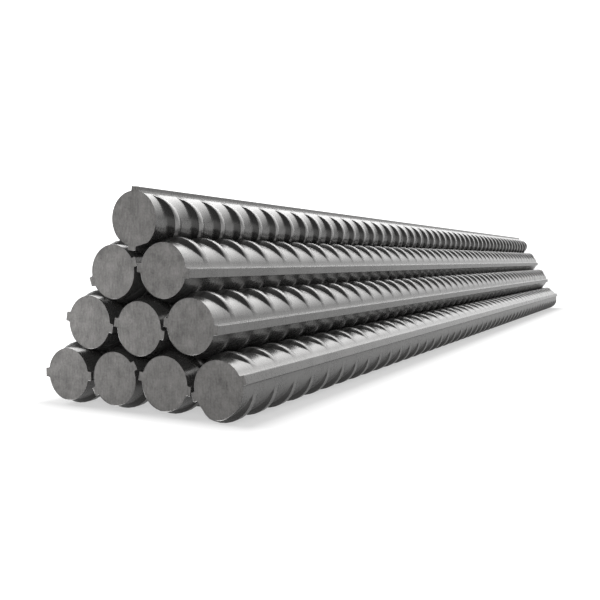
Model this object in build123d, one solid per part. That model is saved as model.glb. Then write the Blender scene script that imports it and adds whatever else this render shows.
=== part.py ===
"""A stack of ten equal deformed reinforcing bars, four under three under two under one.

Every bar is one rolled length of steel with flush sawn ends. Its section is a round core with two
long ribs opposite each other, and each bar lies rolled to its own angle. The short slanting ribs
between the long ones are surface relief and aren't in these solids, but they are what holds the
cores apart, so their height sets the places of the bars.

Millimetres. +X runs across the stack, +Y along the bars from the near ends to the far ones, +Z up.
The origin is on the floor under the middle of the stack.
"""
import math
import os

from build123d import *

# The bar as it is rolled
core_diameter = 30.8
long_rib_width = 5.3
long_rib_height = 2.3
long_rib_corner_radius = 0.35
long_rib_root_radius = 0.6
slanting_rib_height = 3.1

# The length that the bars are sawn to
bar_length = 1058.0

# How far each bar is rolled about its own axis, in degrees, seen from the near end
bottom_row_rolls = {
    "bottom_bar_left": 0.0,
    "bottom_bar_mid_left": 30.0,
    "bottom_bar_mid_right": -10.0,
    "bottom_bar_right": 20.0,
}
lower_row_rolls = {"lower_bar_left": -10.0, "lower_bar_middle": -10.0, "lower_bar_right": -5.0}
upper_row_rolls = {"upper_bar_left": 20.0, "upper_bar_right": -5.0}
top_row_rolls = {"top_bar": 85.0}

# How far a core stands from its neighbour, as a share of one slanting rib's height: 2 where two
# ribs meet at their tips, 1 where a rib meets a bare core, and less where only the low end of a rib
# does. The bottom row has one share, and every other bar has two, for the bars under it on the left
# and on the right.
bottom_row_share = 1.42
lower_row_seat_shares = [(1.56, 1.77), (1.14, 1.03), (1.85, 1.85)]
upper_row_seat_shares = [(1.14, 1.74), (1.85, 1.24)]
top_row_seat_shares = [(0.78, 1.24)]


def bar_section(roll):
    """The section that the last stand rolls: a round core with two long ribs."""
    core = Circle(core_diameter / 2)
    long_ribs = Rectangle(core_diameter + 2 * long_rib_height, long_rib_width)
    outline = core + long_ribs
    rib_middle = core_diameter / 2 + long_rib_height / 2
    roots = outline.vertices().filter_by(lambda v: v.center().length < rib_middle)
    outline = fillet(roots, long_rib_root_radius)
    tips = [v for v in outline.vertices() if v.center().length > rib_middle]
    outline = fillet(tips, long_rib_corner_radius)
    return Rot(0, 0, roll) * outline


def straight_bar(place, roll):
    """One bar, with its axis along Y and its two ends flush with the rest of the stack."""
    across, up = place
    near_end = Plane.XZ.offset(bar_length / 2)
    return extrude(near_end * Pos(across, up) * bar_section(roll), -bar_length)


def bottom_row(count):
    """Places of bars that lie side by side on the floor, with their slanting ribs meshed."""
    pitch = core_diameter + bottom_row_share * slanting_rib_height
    first = -pitch * (count - 1) / 2
    return [(first + i * pitch, core_diameter / 2) for i in range(count)]


def seat(left, right, shares):
    """Place of a bar that lies in the hollow between two others."""
    reach_left = core_diameter + shares[0] * slanting_rib_height
    reach_right = core_diameter + shares[1] * slanting_rib_height
    run = math.dist(left, right)
    slope = math.atan2(right[1] - left[1], right[0] - left[0])
    lean = math.acos((reach_left**2 + run**2 - reach_right**2) / (2 * reach_left * run))
    return (
        left[0] + reach_left * math.cos(slope + lean),
        left[1] + reach_left * math.sin(slope + lean),
    )


def row_above(row, seat_shares):
    """Places of the bars that lie in the hollows of the row under them."""
    return [seat(left, right, shares) for left, right, shares in zip(row, row[1:], seat_shares)]


def stacked_bars():
    """All the bars by name, each in its place in the stack."""
    bottom = bottom_row(len(bottom_row_rolls))
    lower = row_above(bottom, lower_row_seat_shares)
    upper = row_above(lower, upper_row_seat_shares)
    top = row_above(upper, top_row_seat_shares)
    bars = {}
    for row, rolls in (
        (bottom, bottom_row_rolls),
        (lower, lower_row_rolls),
        (upper, upper_row_rolls),
        (top, top_row_rolls),
    ):
        for place, (name, roll) in zip(row, rolls.items()):
            bars[name] = straight_bar(place, roll)
            print(f"{name}: axis at x {place[0]:.2f}, z {place[1]:.2f}, rolled {roll:g} degrees")
    return bars


bars = stacked_bars()
around = Compound(list(bars.values())).bounding_box()
onto_origin = Pos(-around.center().X, -around.center().Y, -around.min.Z)
print(f"stack {around.size.X:.2f} x {around.size.Y:.2f} x {around.size.Z:.2f}, moved by", onto_origin.position)

os.makedirs("parts", exist_ok=True)
for name, bar in bars.items():
    export_step(onto_origin * bar, f"parts/{name}.step")
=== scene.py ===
# %% [markdown]
# A stack of deformed reinforcing bars: ten equal lengths of rolled steel, four under three under
# two under one. The imported model gives every bar's place, length and section. What it leaves to
# this lesson is the rolled relief, the slanting crescent ribs that let concrete grip the bar, and
# the finish of the steel. We load the model first and keep its box.

# %% Load the frame
import math

import bmesh
import bpy
from mathutils import Matrix, Vector


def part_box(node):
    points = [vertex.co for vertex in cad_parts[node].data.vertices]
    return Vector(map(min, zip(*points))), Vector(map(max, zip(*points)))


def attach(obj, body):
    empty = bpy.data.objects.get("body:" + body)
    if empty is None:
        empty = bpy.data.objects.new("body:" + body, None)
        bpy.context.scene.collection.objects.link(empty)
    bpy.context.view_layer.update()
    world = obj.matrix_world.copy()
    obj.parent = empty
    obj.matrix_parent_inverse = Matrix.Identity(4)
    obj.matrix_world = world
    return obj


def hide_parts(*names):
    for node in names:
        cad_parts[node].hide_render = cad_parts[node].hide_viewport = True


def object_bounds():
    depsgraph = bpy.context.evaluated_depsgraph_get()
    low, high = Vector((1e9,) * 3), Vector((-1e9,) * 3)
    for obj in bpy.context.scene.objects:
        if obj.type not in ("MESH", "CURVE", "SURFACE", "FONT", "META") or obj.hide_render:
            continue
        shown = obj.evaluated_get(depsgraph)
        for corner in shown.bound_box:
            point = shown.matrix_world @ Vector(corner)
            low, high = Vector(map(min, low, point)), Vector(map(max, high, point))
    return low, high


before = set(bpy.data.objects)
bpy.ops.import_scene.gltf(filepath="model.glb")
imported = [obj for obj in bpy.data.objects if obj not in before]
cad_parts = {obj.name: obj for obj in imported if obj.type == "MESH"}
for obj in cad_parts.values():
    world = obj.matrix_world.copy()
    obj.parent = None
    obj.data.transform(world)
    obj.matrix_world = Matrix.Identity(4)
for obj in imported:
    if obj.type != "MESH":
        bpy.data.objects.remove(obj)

cad_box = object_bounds()
print("the packed stack's box:", [tuple(round(v, 4) for v in corner) for corner in cad_box])

# %% [markdown]
# Everything below is in metres. The bar's own sizes are few: a round core, two long ribs that run
# its whole length, and slanting ribs on the two halves between them. The core's radius, the long
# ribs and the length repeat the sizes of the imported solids. A slanting rib is a crescent: highest in
# the middle of its half, and gone before it meets the long ribs.

# %% Sizes of one bar
core_radius = 0.0154
long_rib_width = 0.0053
long_rib_height = 0.0023
long_rib_corner = 0.00035
long_rib_root = 0.0006
rib_height = 0.0031
rib_spacing = 0.02275
rib_gap = math.radians(29)
rib_lean = 0.0049
rib_lean_growth = 0.0016
saw_chamfer = 0.00025
near_end, far_end = (corner.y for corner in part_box("top_bar"))
bar_length = far_end - near_end
print(f"bars of {bar_length * 1000:.0f} mm, with {bar_length / rib_spacing:.1f} ribs a half")

# %% [markdown]
# Across a slanting rib, from the foot of one flank over the crest to the other foot, a few stations
# are enough. The crest is a flat band with crisp edges. A flank is given by distances from the crest's
# edge, with the share of the rib's height that it has there: straight, with a soft hollow foot, as the
# groove of the roll leaves it. The cutter of that groove has one angle, so a lower rib has shorter
# flanks: these distances hold in the rib's middle and shrink with its height towards its ends.

# %% Profile across a slanting rib
crest_width = 0.0046
flank = [(0.0058, 0.0), (0.0050, 0.03), (0.0043, 0.10), (0.0036, 0.22), (0.0, 1.0)]
rib_profile = [(-crest_width / 2 - run, share) for run, share in flank]
rib_profile += [(crest_width / 2 + run, share) for run, share in reversed(flank)]
print("stations across a rib, in mm:", [round(reach * 1000, 2) for reach, share in rib_profile])

# %% [markdown]
# How each bar lies. The roll is the angle of its first long rib, seen from the near end. The two
# phases say how far behind the near saw cut the first slanting rib of each half has its middle: the
# saw cuts the rolled bar anywhere, so they differ from bar to bar, and the two rolls of the mill
# aren't in step either, so they differ between the halves.

# %% Roll and phases of each bar
bars = {
    "top_bar": (-95, 0.0155, 0.0122),
    "upper_bar_left": (20, 0.0120, 0.0117),
    "upper_bar_right": (-5, 0.0129, 0.0112),
    "lower_bar_left": (-10, 0.0119, 0.0127),
    "lower_bar_middle": (-10, 0.0114, 0.0117),
    "lower_bar_right": (-5, 0.0125, 0.0112),
    "bottom_bar_left": (0, 0.0125, 0.0117),
    "bottom_bar_mid_left": (30, 0.0116, 0.0123),
    "bottom_bar_mid_right": (-10, 0.0122, 0.0115),
    "bottom_bar_right": (20, 0.0117, 0.0060),
}
print(len(bars), "bars")

# %% [markdown]
# The section is a ring of edges round the Y axis. It could be typed as a list of points, but drawn
# with operators it follows the sizes above: one point at the foot of a long rib is spun round to the
# other long rib, three short extrusions draw that rib, and a copy turned by half a turn closes the
# ring.

# %% The section as a ring of edges
arc_steps = 16
weld = 1e-6
long_rib_foot = math.asin(long_rib_width / 2 / core_radius)


def verts_of(geometry):
    """The vertices in what an operator returns."""
    return [item for item in geometry if isinstance(item, bmesh.types.BMVert)]


def edges_of(geometry):
    """The edges in what an operator returns."""
    return [item for item in geometry if isinstance(item, bmesh.types.BMEdge)]


def extruded(bm, vert, step):
    """The vertex that one extrusion of vert ends on."""
    made = bmesh.ops.extrude_vert_indiv(bm, verts=[vert])
    bmesh.ops.translate(bm, verts=made["verts"], vec=step)
    return made["verts"][0]


def draw_section(bm):
    """A closed ring: the core, and two long ribs, the first of them at +X."""
    foot_x = core_radius * math.cos(long_rib_foot)
    rise = core_radius + long_rib_height - foot_x
    start = bm.verts.new((foot_x, 0, long_rib_width / 2))
    arc = bmesh.ops.spin(bm, geom=[start], cent=(0, 0, 0), axis=(0, -1, 0),
                         angle=math.pi - 2 * long_rib_foot, steps=arc_steps, use_merge=False)
    corner = extruded(bm, verts_of(arc["geom_last"])[0], (-rise, 0, 0))
    corner = extruded(bm, corner, (0, 0, -long_rib_width))
    extruded(bm, corner, (rise, 0, 0))
    half = bmesh.ops.duplicate(bm, geom=bm.verts[:] + bm.edges[:])
    bmesh.ops.rotate(bm, verts=verts_of(half["geom"]), cent=(0, 0, 0),
                     matrix=Matrix.Rotation(math.pi, 3, "Y"))
    bmesh.ops.remove_doubles(bm, verts=bm.verts, dist=weld)


# %% [markdown]
# The slanting ribs could be separate bodies joined to the bar by booleans, or a displacement of a
# very fine mesh. But they are all alike and evenly spaced, so one pitch of the bar, from the plain
# surface before a rib to the plain surface behind it, is all that has to be shaped. The ring is
# extruded from station to station, which gives a straight tube, and the long edges of the two long
# ribs are bevelled while it is still straight.

# %% One straight pitch
def is_long_edge(edge, radius, near):
    """Whether an edge runs along the bar at that distance from its axis."""
    a, b = (vert.co for vert in edge.verts)
    return abs(a.x - b.x) < near and abs(a.z - b.z) < near and abs(math.hypot(a.x, a.z) - radius) < near


def straight_pitch(bm):
    """A tube one rib spacing long, with an edge ring at each station of the rib."""
    draw_section(bm)
    places = [-rib_spacing / 2] + [reach for reach, share in rib_profile] + [rib_spacing / 2]
    bmesh.ops.translate(bm, verts=bm.verts, vec=(0, places[0], 0))
    ring = bm.edges[:]
    for before, after in zip(places, places[1:]):
        made = bmesh.ops.extrude_edge_only(bm, edges=ring)
        bmesh.ops.translate(bm, verts=verts_of(made["geom"]), vec=(0, after - before, 0))
        ring = [e for e in edges_of(made["geom"]) if all(abs(v.co.y - after) < weld for v in e.verts)]
    tip_radius = math.hypot(core_radius + long_rib_height, long_rib_width / 2)
    tips = [e for e in bm.edges if is_long_edge(e, tip_radius, weld)]
    feet = [e for e in bm.edges if is_long_edge(e, core_radius, weld)
            and abs(abs(e.verts[0].co.z) - long_rib_width / 2) < weld]
    for edges, size in ((tips, long_rib_corner), (feet, long_rib_root)):
        bmesh.ops.bevel(bm, geom=edges, offset=size, offset_type="OFFSET", segments=2, profile=0.5,
                        affect="EDGES", clamp_overlap=False, material=-1)


# %% [markdown]
# Now the straight pitch gets its ribs. Each vertex knows its station from its place along the bar,
# and its turn round the bar from its angle. The crescent is the part of a circle that stands out of
# the core: it lifts the vertex, and it also draws the flanks in towards the crest at the rib's ends,
# so that they run out in points. Then the whole ring of each station leans: it is moved along the
# bar by the turn, a little more towards the rib's ends, and mirrored on the two halves. Last, each
# half slides to its own phase, and the long ribs between them take a share of both.
#
# The finish paints a highlight on the crests and shade on the flanks, so it needs to know where they
# are. The height is kept as a value of each vertex. The flanks are marked on the corners of their
# faces, because a crest and a flank share the vertices of their common edge, and the painted shade
# should stop there. At a flank's foot and at a rib's ends it grows from nothing, so that no outline shows.

# %% Ribs on the pitch
least_flank = 0.06
crest_attribute = "crest"
flank_attribute = "flank"
growth_from_foot = 4
growth_from_rib_end = 6


def crescent(turn):
    """The share of its full height that a rib has at that turn from the first long rib."""
    at_its_ends = math.sin(rib_gap)
    return max(0.0, (math.sin(turn) - at_its_ends) / (1 - at_its_ends))


def height_share(reach):
    """The share of the height at that distance from the rib's middle line."""
    for station, share in rib_profile:
        if abs(station - reach) < weld:
            return share
    return 0.0


def raise_ribs(bm, phases):
    """Turns the straight pitch into one pitch of ribbed bar, with its two halves at their phases."""
    crest = bm.verts.layers.float.new(crest_attribute)
    rise = {vert: height_share(vert.co.y) for vert in bm.verts}
    for vert in bm.verts:
        turn = abs(math.atan2(vert.co.z, vert.co.x))
        full = crescent(turn)
        share = rise[vert] * full
        vert[crest] = share
        lift = 1 + share * rib_height / core_radius
        on_profile = abs(vert.co.y) < rib_spacing / 2 - weld
        run = max(abs(vert.co.y) - crest_width / 2, 0)
        drawn_in = math.copysign(run * (1 - max(full, least_flank)), vert.co.y) if on_profile else 0
        upper = min(max(0.5 + vert.co.z / long_rib_width, 0), 1)
        before_middle = math.pi / 2 - min(max(turn, rib_gap), math.pi - rib_gap)
        lean = rib_lean * before_middle + rib_lean_growth * before_middle**3
        phase = phases[0] * upper + phases[1] * (1 - upper)
        vert.co = Vector((vert.co.x * lift, vert.co.y - drawn_in + lean + phase, vert.co.z * lift))
    mark = bm.loops.layers.float.new(flank_attribute)
    for face in bm.faces:
        rises = [rise[loop.vert] for loop in face.loops]
        if max(rises) > min(rises):
            for loop in face.loops:
                full = loop.vert[crest] / max(rise[loop.vert], weld)
                loop[mark] = min(1.0, growth_from_foot * rise[loop.vert], growth_from_rib_end * full)


# %% [markdown]
# The mill rolls the bar far longer than it is needed, and a saw cuts it to length. The mesh is made
# the same way: copies of the pitch are welded into one long bar, two planes cut it, and the cuts are
# filled. The cut face is inset a little and its rim set back, because a sawn edge is never knife
# sharp, and that chamfer catches the light.

# %% Rolled long and sawn to length
sides, ends = 0, 1
sharp_angle = math.radians(21)


def roll_long(bm):
    """Repeats the pitch past both saw cuts."""
    pitch = bm.verts[:] + bm.edges[:] + bm.faces[:]
    count = math.ceil(bar_length / rib_spacing) + 2
    for number in range(-2, count + 1):
        copy = bmesh.ops.duplicate(bm, geom=pitch)
        bmesh.ops.translate(bm, verts=verts_of(copy["geom"]), vec=(0, near_end + number * rib_spacing, 0))
    bmesh.ops.delete(bm, geom=verts_of(pitch), context="VERTS")
    bmesh.ops.remove_doubles(bm, verts=bm.verts, dist=10 * weld)


def saw(bm, place, outward):
    """Cuts the bar square at that place, fills the cut and takes the sharp edge off it."""
    cut = bmesh.ops.bisect_plane(bm, geom=bm.verts[:] + bm.edges[:] + bm.faces[:], dist=weld / 10,
                                 plane_co=(0, place, 0), plane_no=(0, outward, 0), clear_outer=True)
    rim = edges_of(cut["geom_cut"])
    rim_verts = list({vert for edge in rim for vert in edge.verts})
    filled = bmesh.ops.edgeloop_fill(bm, edges=rim, mat_nr=ends)
    inset = bmesh.ops.inset_region(bm, faces=filled["faces"], thickness=saw_chamfer, use_even_offset=True)
    bmesh.ops.translate(bm, verts=rim_verts, vec=(0, -outward * saw_chamfer, 0))
    for face in inset["faces"]:
        face.material_index = sides
    for face in filled["faces"]:
        for edge in face.edges:
            edge.smooth = False
    for edge in rim:
        edge.smooth = False


def make_bar(name):
    """One ribbed bar in its place in the stack."""
    roll, *phases = bars[name]
    bm = bmesh.new()
    straight_pitch(bm)
    raise_ribs(bm, phases)
    for edge in bm.edges:
        edge.smooth = len(edge.link_faces) < 2 or edge.calc_face_angle() < sharp_angle
    roll_long(bm)
    saw(bm, near_end, -1)
    saw(bm, far_end, 1)
    bmesh.ops.recalc_face_normals(bm, faces=bm.faces)
    for face in bm.faces:
        face.smooth = face.material_index == sides
    low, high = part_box(name)
    middle = (low + high) / 2
    bmesh.ops.rotate(bm, verts=bm.verts, cent=(0, 0, 0),
                     matrix=Matrix.Rotation(-math.radians(roll), 3, "Y"))
    bmesh.ops.translate(bm, verts=bm.verts, vec=(middle.x, 0, middle.z))
    open_edges = sum(not edge.is_manifold for edge in bm.edges)
    mesh = bpy.data.meshes.new(name + "_ribbed")
    bm.to_mesh(mesh)
    bm.free()
    piece = bpy.data.objects.new(name + "_ribbed", mesh)
    bpy.context.scene.collection.objects.link(piece)
    triangles = sum(len(face.vertices) - 2 for face in mesh.polygons)
    print(f"{piece.name}: {triangles} triangles, {open_edges} open edges")
    return piece


# %% [markdown]
# Shader maths reads best as plain sums. A small class wraps a socket, so that adding or multiplying
# wires builds the Math nodes, and one method of the node tree's own class makes every other node: it
# takes the node's type, its settings, and the numbers or wires of its sockets.

# %% Shader helpers
class Wire:
    """An output socket that can stand in a sum."""

    def __init__(self, finish, socket):
        self.finish = finish
        self.socket = socket

    def __add__(self, other):
        return self.finish.math("ADD", self, other)

    __radd__ = __add__

    def __sub__(self, other):
        return self.finish.math("SUBTRACT", self, other)

    def __rsub__(self, other):
        return self.finish.math("SUBTRACT", other, self)

    def __mul__(self, other):
        return self.finish.math("MULTIPLY", self, other)

    __rmul__ = __mul__

    def __pow__(self, other):
        return self.finish.math("POWER", self, other)


class Finish:
    """The node tree of a material or of the world."""

    def __init__(self, owner):
        owner.use_nodes = True
        self.tree = owner.node_tree
        self.tree.nodes.clear()

    def node(self, kind, settings=None, sockets=None, output=0):
        """Makes a node, sets it, feeds its sockets with numbers or wires, and returns one output."""
        made = self.tree.nodes.new(kind)
        for key, value in (settings or {}).items():
            setattr(made, key, value)
        for key, value in (sockets or {}).items():
            if isinstance(value, Wire):
                self.tree.links.new(value.socket, made.inputs[key])
            else:
                made.inputs[key].default_value = value
        return Wire(self, made.outputs[output]) if len(made.outputs) else made

    def math(self, operation, first, second):
        return self.node("ShaderNodeMath", {"operation": operation}, {0: first, 1: second})

    def mix(self, factor, a, b):
        """A colour between two colours."""
        return self.node("ShaderNodeMix", {"data_type": "RGBA"}, {0: factor, 6: a, 7: b}, output=2)

    def surface(self, shader):
        self.node("ShaderNodeOutputMaterial", sockets={"Surface": shader})


def grey(value, warmth=0.0):
    """A grey, or a slightly warm one, as a colour."""
    return (value * (1 + warmth), value, value * (1 - warmth), 1)


# %% [markdown]
# Hot-rolled steel comes off the mill with a thin grey skin of scale. It is nearly a metal to look
# at, satin rather than shiny, with soft blotches, a fine grit and faint draw marks along the bar. The
# crests of the ribs get a painted highlight, a brighter colour. The flanks get painted shade, a darker
# colour that deepens towards the crest. A painted picture would need the
# bar unwrapped. Noise on Object coordinates gives the blotches without that, and the values kept on
# the mesh say where crests and flanks are.

# %% Rolled steel
painted_shade_on_flanks = 0.85
painted_highlight_on_crests = 0.55


def rolled_steel():
    material = bpy.data.materials.new("rolled_steel")
    f = Finish(material)
    place = f.node("ShaderNodeTexCoord", output="Object")
    blotches = f.node("ShaderNodeTexNoise", sockets={"Vector": place, "Scale": 70.0, "Detail": 4.0})
    grit = f.node("ShaderNodeTexNoise",
                  sockets={"Vector": place, "Scale": 800.0, "Detail": 3.0, "Roughness": 0.7})
    around = f.node("ShaderNodeMapping", sockets={"Vector": place, "Scale": (60.0, 900.0, 60.0)})
    marks = f.node("ShaderNodeTexNoise", sockets={"Vector": around, "Scale": 1.0, "Detail": 2.0})
    crest = f.node("ShaderNodeAttribute", {"attribute_name": crest_attribute}, output="Fac")
    flank_mark = f.node("ShaderNodeAttribute", {"attribute_name": flank_attribute}, output="Fac")
    tone = 0.35 * blotches + 0.4 * grit + 0.25 * marks
    share = f.node("ShaderNodeMapRange", sockets={"Value": tone, "From Min": 0.35, "From Max": 0.65})
    scale = f.mix(share, grey(0.20, 0.012), grey(0.28, 0.012))
    # Painted shade: the flanks' colour is darkened, most towards the crest.
    with_painted_shade = f.mix(flank_mark * painted_shade_on_flanks, scale, grey(0.05, 0.02))
    # Painted highlight: the crests get a brighter colour, most where the rib stands highest.
    with_painted_highlight = f.mix((crest - flank_mark) * painted_highlight_on_crests, with_painted_shade, grey(0.42, 0.012))
    bump = f.node("ShaderNodeBump", sockets={"Strength": 0.06, "Distance": 0.0001, "Height": tone})
    f.surface(f.node("ShaderNodeBsdfPrincipled", sockets={
        "Base Color": with_painted_highlight, "Metallic": 0.75, "Roughness": 0.20 + 0.16 * tone, "Normal": bump}))
    print("finish:", material.name, "with", len(f.tree.nodes), "nodes")
    return material


# %% [markdown]
# The saw leaves a flat matt face, a little warmer, with smears, a fine grit and faint upright strokes
# of the blade. The strokes are the same noise as the rest, stretched by a Mapping node.

# %% Sawn steel
def sawn_steel():
    material = bpy.data.materials.new("sawn_steel")
    f = Finish(material)
    place = f.node("ShaderNodeTexCoord", output="Object")
    smears = f.node("ShaderNodeTexNoise",
                    sockets={"Vector": place, "Scale": 130.0, "Detail": 5.0, "Roughness": 0.6})
    upright = f.node("ShaderNodeMapping", sockets={"Vector": place, "Scale": (800.0, 800.0, 220.0)})
    strokes = f.node("ShaderNodeTexNoise", sockets={"Vector": upright, "Scale": 1.0, "Detail": 3.0})
    grit = f.node("ShaderNodeTexNoise",
                  sockets={"Vector": place, "Scale": 800.0, "Detail": 3.0, "Roughness": 0.7})
    tone = 0.45 * smears + 0.25 * strokes + 0.3 * grit
    share = f.node("ShaderNodeMapRange", sockets={"Value": tone, "From Min": 0.32, "From Max": 0.68})
    bare = f.mix(share, grey(0.07, 0.03), grey(0.28, 0.03))
    bump = f.node("ShaderNodeBump", sockets={"Strength": 0.2, "Distance": 0.0001, "Height": grit})
    f.surface(f.node("ShaderNodeBsdfPrincipled", sockets={
        "Base Color": bare, "Metallic": 0.3, "Roughness": 0.55, "Normal": bump}))
    print("finish:", material.name, "with", len(f.tree.nodes), "nodes")
    return material


# %% [markdown]
# Each bar gets both finishes, one on its sides and one on its two sawn ends. It rides on the stack's
# one body and stands in for its imported solid.

# %% Make the ten bars
side_finish = rolled_steel()
end_finish = sawn_steel()
for name in bars:
    piece = make_bar(name)
    piece.data.materials.append(side_finish)
    piece.data.materials.append(end_finish)
    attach(piece, "root")
    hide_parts(name)

# %% [markdown]
# A white ground could be had from more light, but that would wash out the steel. Here the white
# shines for some kinds of ray only: the camera sees it in full, straight or through glass, and the
# steel mirrors a share of it, because the photo's steel shows little of the ground. All other rays
# get nothing, so this white doesn't light what is rough.

# %% Who sees the white ground
def background_rays(f, mirrored):
    """One for rays that see the ground straight or through glass, and mirrored for rays off metal."""
    camera, glossy, through = (f.node("ShaderNodeLightPath", output=name)
                               for name in ("Is Camera Ray", "Is Glossy Ray", "Is Transmission Ray"))
    return f.math("MAXIMUM", f.math("MAXIMUM", camera, through), mirrored * glossy)


# %% [markdown]
# The floor is a wide pale sheet under the lowest rib tips. It is white, and greyer close to the
# stack, where the real ground gets little light from the sky: the grey is worked out from the
# distance to the stack's box. The sheet's plain grey part takes the shadows of the lamps. A picture
# of a shadow could stand there instead, but it would be wrong from any other side.

# %% Floor
floor_half_width = 5.0
floor_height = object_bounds()[0].z
floor_mirrored = 0.45
shade_reach = 0.034
shade_white, open_white, far_white = 0.50, 0.95, 1.0


def distance_past(f, place, half_size):
    """How far a place lies past the stack's box along one axis."""
    return f.math("MAXIMUM", f.math("ABSOLUTE", place, 0.0) - half_size, 0.0)


def white_floor():
    material = bpy.data.materials.new("white_floor")
    f = Finish(material)
    ray = background_rays(f, floor_mirrored)
    place = f.node("ShaderNodeTexCoord", output="Object")
    across, along = (f.node("ShaderNodeSeparateXYZ", sockets={"Vector": place}, output=axis) for axis in "XY")
    beside = distance_past(f, across, cad_box[1][0])
    before = distance_past(f, along, cad_box[1][1])
    away = (beside * beside + before * before) ** 0.5
    near = 1 - f.math("MINIMUM", away * (1 / shade_reach), 1.0)
    beyond = open_white + (far_white - open_white) * f.math("MINIMUM", away, 1.0)
    white = beyond + (shade_white - beyond) * near * near
    plain = f.node("ShaderNodeBsdfDiffuse", sockets={"Color": grey(0.5)})
    lit = f.node("ShaderNodeEmission", sockets={"Color": white, "Strength": ray})
    f.surface(f.node("ShaderNodeAddShader", sockets={0: plain, 1: lit}))
    return material


def make_floor():
    bm = bmesh.new()
    bmesh.ops.create_grid(bm, x_segments=1, y_segments=1, size=floor_half_width)
    bmesh.ops.translate(bm, verts=bm.verts, vec=(0, 0, floor_height))
    mesh = bpy.data.meshes.new("floor")
    bm.to_mesh(mesh)
    bm.free()
    floor = bpy.data.objects.new("floor", mesh)
    bpy.context.scene.collection.objects.link(floor)
    floor.data.materials.append(white_floor())


make_floor()
print(f"floor at {floor_height * 1000:.2f} mm")

# %% [markdown]
# The camera stands low and to the right of the near ends and looks a little to the left along the
# bars. Its place was worked out from the outlines of the ten round ends and the even spacing of the
# ribs, in core diameters from the middle of the bottom row.

# %% Camera
core_diameter = 2 * core_radius
camera_place = (8.6335, -10.2962, 2.2063)
camera_turn = math.radians(27.49)
camera_tilt = math.radians(-3.192)
camera_roll = math.radians(0.147)
focal_pixels = 732.8
picture_pixels = 600


def make_camera():
    data = bpy.data.cameras.new("camera")
    camera = bpy.data.objects.new("camera", data)
    bpy.context.scene.collection.objects.link(camera)
    data.sensor_width = 36
    data.lens = focal_pixels / picture_pixels * data.sensor_width
    row = [(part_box(n)[0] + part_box(n)[1]) / 2 for n in ("bottom_bar_left", "bottom_bar_right")]
    middle = (row[0] + row[1]) / 2
    across, back, up = (core_diameter * share for share in camera_place)
    camera.location = (middle.x + across, near_end + back, middle.z + up)
    camera.rotation_euler = (
        Matrix.Rotation(camera_turn, 3, "Z")
        @ Matrix.Rotation(math.pi / 2 + camera_tilt, 3, "X")
        @ Matrix.Rotation(camera_roll, 3, "Z")
    ).to_euler()
    data.clip_start, data.clip_end = 0.01, 20
    bpy.context.scene.camera = camera
    print("camera at", tuple(round(v, 3) for v in camera.location))


make_camera()

# %% [markdown]
# Plain soft studio light for what is rough: a wide softbox far to the left and a smaller one at the
# front right light the ends, the floor and the dull part of the steel. The photo's ends get darker
# from left to right, which takes a lamp close to their left, so a small weak one stands there,
# outside the picture.

# %% Lamps
def make_softbox(name, place, aim, size, power):
    """A square lamp that is turned towards a point."""
    data = bpy.data.lights.new(name, "AREA")
    data.shape = "SQUARE"
    data.size = size
    data.energy = power
    lamp = bpy.data.objects.new(name, data)
    bpy.context.scene.collection.objects.link(lamp)
    lamp.location = place
    lamp.rotation_euler = (Vector(aim) - Vector(place)).to_track_quat("-Z", "Y").to_euler()
    print(f"{name}: {power} W, {(Vector(aim) - Vector(place)).length:.2f} m from what it lights")


make_softbox("softbox_front_right", (1.0, -2.4, 0.8), (0, -0.3, 0), 1.2, 17)
make_softbox("softbox_left", (-2.2, -0.7, 1.5), (0, 0, 0), 1.6, 33)
make_softbox("small_lamp_beside_the_ends", (-0.34, -0.78, 0.03), (0, -0.53, 0.03), 0.06, 0.44)

# %% [markdown]
# The bars' sides are dull mirrors, so their look is the look of the room. In the photo, the hollows
# between the ribs mirror something bright, high up behind the stack, and the flanks and the lower
# sides mirror a dark room. Bright and dark cards round the stack could do that, but each would show
# its outline in the steel. So the world is one broad glow, brightest high at the back and a little to
# the left, that ends at a soft edge towards the front. The edge is sharper higher up. Everywhere else
# the room is dim, and the camera sees all of it white.

# %% The room
glow_from = Vector((-0.30, 0.50, 0.80)).normalized()
glow_level, glow_base, glow_narrowness = 3.7, 0.25, 2.4
room_level = 0.14
room_mirrored = 0.16
edge_at_horizon = (-0.10, 0.68)
edge_high_up = (0.56, 0.74)
high_up = 0.5


def make_world():
    world = bpy.data.worlds.new("studio")
    bpy.context.scene.world = world
    f = Finish(world)
    direction = f.node("ShaderNodeTexCoord", output="Generated")
    back, up = (f.node("ShaderNodeSeparateXYZ", sockets={"Vector": direction}, output=axis) for axis in "YZ")
    steep = f.math("MINIMUM", 1.0, f.math("MAXIMUM", up, 0.0) * (1 / high_up))
    start, end = (low + steep * (high - low) for low, high in zip(edge_at_horizon, edge_high_up))
    edge = f.node("ShaderNodeMapRange", {"interpolation_type": "SMOOTHSTEP"},
                  {"Value": back, "From Min": start, "From Max": end})
    facing = f.node("ShaderNodeVectorMath", {"operation": "DOT_PRODUCT"}, {0: direction, 1: glow_from},
                    output="Value")
    glow = glow_base + glow_level * f.math("MAXIMUM", facing, 0.0) ** glow_narrowness
    strength = f.math("MAXIMUM", room_level + edge * glow, background_rays(f, room_mirrored))
    background = f.node("ShaderNodeBackground", sockets={"Color": grey(1.0), "Strength": strength})
    f.node("ShaderNodeOutputWorld", sockets={"Surface": background})
    print("the room's glow is", glow_base + glow_level, "at its brightest and", room_level, "in the dim part")


make_world()
bpy.context.scene.view_settings.view_transform = "Standard"
